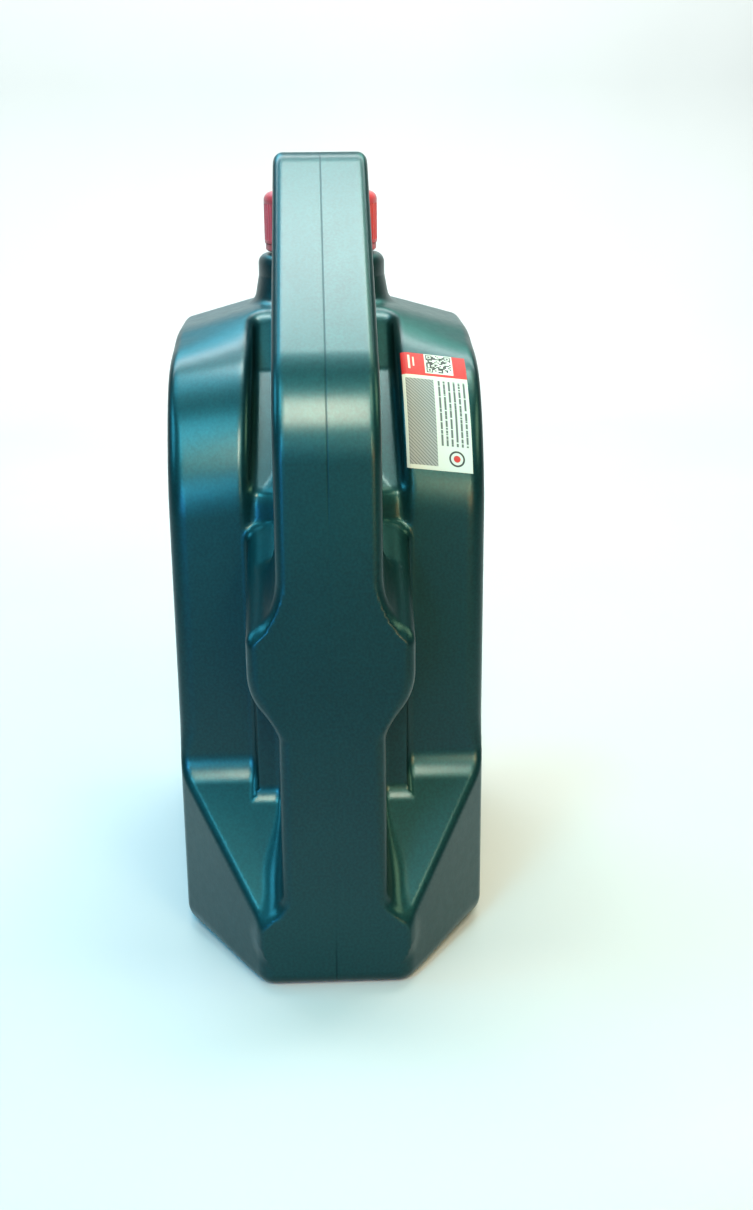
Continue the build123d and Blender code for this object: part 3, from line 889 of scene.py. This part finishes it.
# name, place and target in metres, size, power in watts, colour
LAMPS = [
    ("top_box", (-0.13, 0.04, 1.15), (-0.02, 0, 0.25), (0.14, 0.52), 10, (0.97, 1.0, 0.95)),
    ("top_left", (-0.05, -0.38, 1.1), (0.0, -0.03, 0.2), (0.3, 0.5), 5, (0.1, 0.72, 1.0)),
    ("top_right", (-0.05, 0.4, 1.1), (0.0, 0.03, 0.2), (0.3, 0.5), 3, (0.8, 1.0, 0.6)),
    ("left_box", (0.72, -0.36, 0.9), (0.05, -0.04, 0.15), (0.22, 0.5), 9, (0.12, 0.75, 1.0)),
    ("right_box", (0.72, 0.36, 0.9), (0.05, 0.04, 0.15), (0.22, 0.5), 4, (0.9, 1.0, 0.62)),
    ("side_left", (0.1, -0.9, 0.6), (0.0, 0, 0.15), (0.35, 0.35), 5, (0.1, 0.7, 1.0)),
    ("side_right", (0.1, 0.9, 0.6), (0.0, 0, 0.15), (0.35, 0.35), 2.5, (0.75, 1.0, 0.55)),
    ("front_lamp", (0.9, 0.0, 0.78), (0.05, 0, 0.2), (0.12, 0.42), 13.5, (1.0, 0.86, 0.66)),
    ("low_left", (1.25, -0.33, 0.34), (0.05, 0, 0.18), (0.25, 0.22), 6, (0.08, 0.66, 1.0)),
    ("low_right", (1.25, 0.33, 0.34), (0.05, 0, 0.18), (0.25, 0.22), 4, (1.0, 0.95, 0.55)),
    ("floor_left", (0.45, -0.2, 0.16), (0.36, -0.12, 0.0), (0.12, 0.12), 1.0, (0.05, 0.42, 1.0)),
    ("floor_right", (0.45, 0.2, 0.16), (0.36, 0.14, 0.0), (0.12, 0.12), 0.6, (1.0, 0.42, 0.12)),
    ("back_left", (-0.7, -0.35, 0.9), (0.0, -0.03, 0.24), (0.5, 0.4), 3.2, (0.06, 0.7, 1.0)),
    ("back_right", (-0.7, 0.35, 0.9), (0.0, 0.03, 0.24), (0.5, 0.4), 1.4, (0.15, 1.0, 0.75)),
    ("back_box", (-0.75, 0.0, 1.2), (-1.3, 0, 0.4), (1.8, 0.6), 50, (1, 1, 1)),
]


def area_light(name, place, target, size, power, colour):
    """Rectangular lamp that faces its target."""
    data = bpy.data.lights.new(name, "AREA")
    data.shape = "RECTANGLE"
    data.size, data.size_y = size
    data.energy = power
    data.color = colour
    obj = bpy.data.objects.new(name, data)
    bpy.context.collection.objects.link(obj)
    back = np.array(place, float) - np.array(target, float)
    back /= np.linalg.norm(back)
    side = np.cross((0, 0, 1) if abs(back[2]) < 0.99 else (0, 1, 0), back)
    side /= np.linalg.norm(side)
    up = np.cross(back, side)
    turn = Matrix(np.stack([side, up, back], axis=1)).to_4x4()
    obj.matrix_world = Matrix.Translation(place) @ turn


def make_stage():
    """Floor that sweeps up behind the bottle, a faint sky and the lamps."""
    front_x = 1.6
    wall_x = -1.3
    height = 0.7
    bend = 0.35
    half = 2.4
    profile = [(front_x, 0.0)]
    profile += [
        (wall_x + bend - bend * math.sin(a), bend - bend * math.cos(a))
        for a in np.linspace(0, math.pi / 2, 16)
    ]
    profile += [(wall_x, height)]
    points = [(x / MM, y / MM, z / MM) for x, z in profile for y in (-half, half)]
    faces = [(2 * i, 2 * i + 1, 2 * i + 3, 2 * i + 2) for i in range(len(profile) - 1)]
    floor = mesh_object("studio_floor", points, faces)
    wear(floor, studio_paper())
    bpy.context.scene.view_settings.view_transform = "Standard"
    world = bpy.data.worlds.new("studio")
    bpy.context.scene.world = world
    world.use_nodes = True
    shade = world.node_tree.nodes["Background"]
    shade.inputs["Color"].default_value = (0.85, 0.95, 1.0, 1)
    shade.inputs["Strength"].default_value = 0.06
    for lamp in LAMPS:
        area_light(*lamp)


CAMERA_PLACE = (0.6017, -0.003, 0.3179)
CAMERA_YAW = math.radians(-2.206)
CAMERA_PITCH = math.radians(18.166)
CAMERA_ROLL = math.radians(-0.496)


def make_camera():
    """Camera in front of the nose, looking down on the bottle."""
    data = bpy.data.cameras.new("camera")
    data.sensor_fit = "VERTICAL"
    data.sensor_height = 36.0
    data.lens = 44.8
    data.clip_start = 0.01
    look = np.array([
        -math.cos(CAMERA_PITCH) * math.cos(CAMERA_YAW),
        -math.cos(CAMERA_PITCH) * math.sin(CAMERA_YAW),
        -math.sin(CAMERA_PITCH),
    ])
    right = np.cross(look, (0, 0, 1))
    right /= np.linalg.norm(right)
    up = np.cross(right, look)
    leaning_right = right * math.cos(CAMERA_ROLL) + up * math.sin(CAMERA_ROLL)
    leaning_up = up * math.cos(CAMERA_ROLL) - right * math.sin(CAMERA_ROLL)
    obj = bpy.data.objects.new("camera", data)
    bpy.context.collection.objects.link(obj)
    turn = Matrix(np.stack([leaning_right, leaning_up, -look], axis=1)).to_4x4()
    obj.matrix_world = Matrix.Translation(CAMERA_PLACE) @ turn
    bpy.context.scene.camera = obj


# ---------------------------------------------------------------- assembly

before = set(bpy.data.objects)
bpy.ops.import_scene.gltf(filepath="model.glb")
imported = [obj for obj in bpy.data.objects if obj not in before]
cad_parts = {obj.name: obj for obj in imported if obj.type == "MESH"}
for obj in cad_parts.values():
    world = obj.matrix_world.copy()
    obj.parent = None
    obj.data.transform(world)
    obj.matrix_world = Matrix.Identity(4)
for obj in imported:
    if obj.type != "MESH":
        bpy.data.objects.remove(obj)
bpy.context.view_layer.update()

teal = teal_plastic()
red = red_plastic("cap_red")

skin = make_skin()
wear(skin, teal)
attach(skin, "bottle")
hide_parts("bottle")

neck = make_neck()
neck_thread = thread("neck_thread", 20.6, 21.5, 271.0, 1.5, 0.0)
for piece in (neck, neck_thread):
    wear(piece, teal)
    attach(piece, "bottle")

cap_thread = thread("cap_thread", 22.0, 21.1, 268.2, 1.5, math.pi / 5, outward=False)
wear(cap_thread, red)
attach(cap_thread, "cap")

sticker = make_sticker()
wear(sticker, sticker_print())
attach(sticker, "bottle")
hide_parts("check_sticker")

for node, material in {
    "cap": red,
    "tamper_ring": red_plastic("ring_red"),
    "cap_liner": foam(),
    "foil_seal": foil(),
    "oil_fill": oil(),
    "front_label": label_print("front_print", 1.0),
    "back_label": label_print("back_print", -1.0),
}.items():
    wear(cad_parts[node], material)

make_stage()
make_camera()
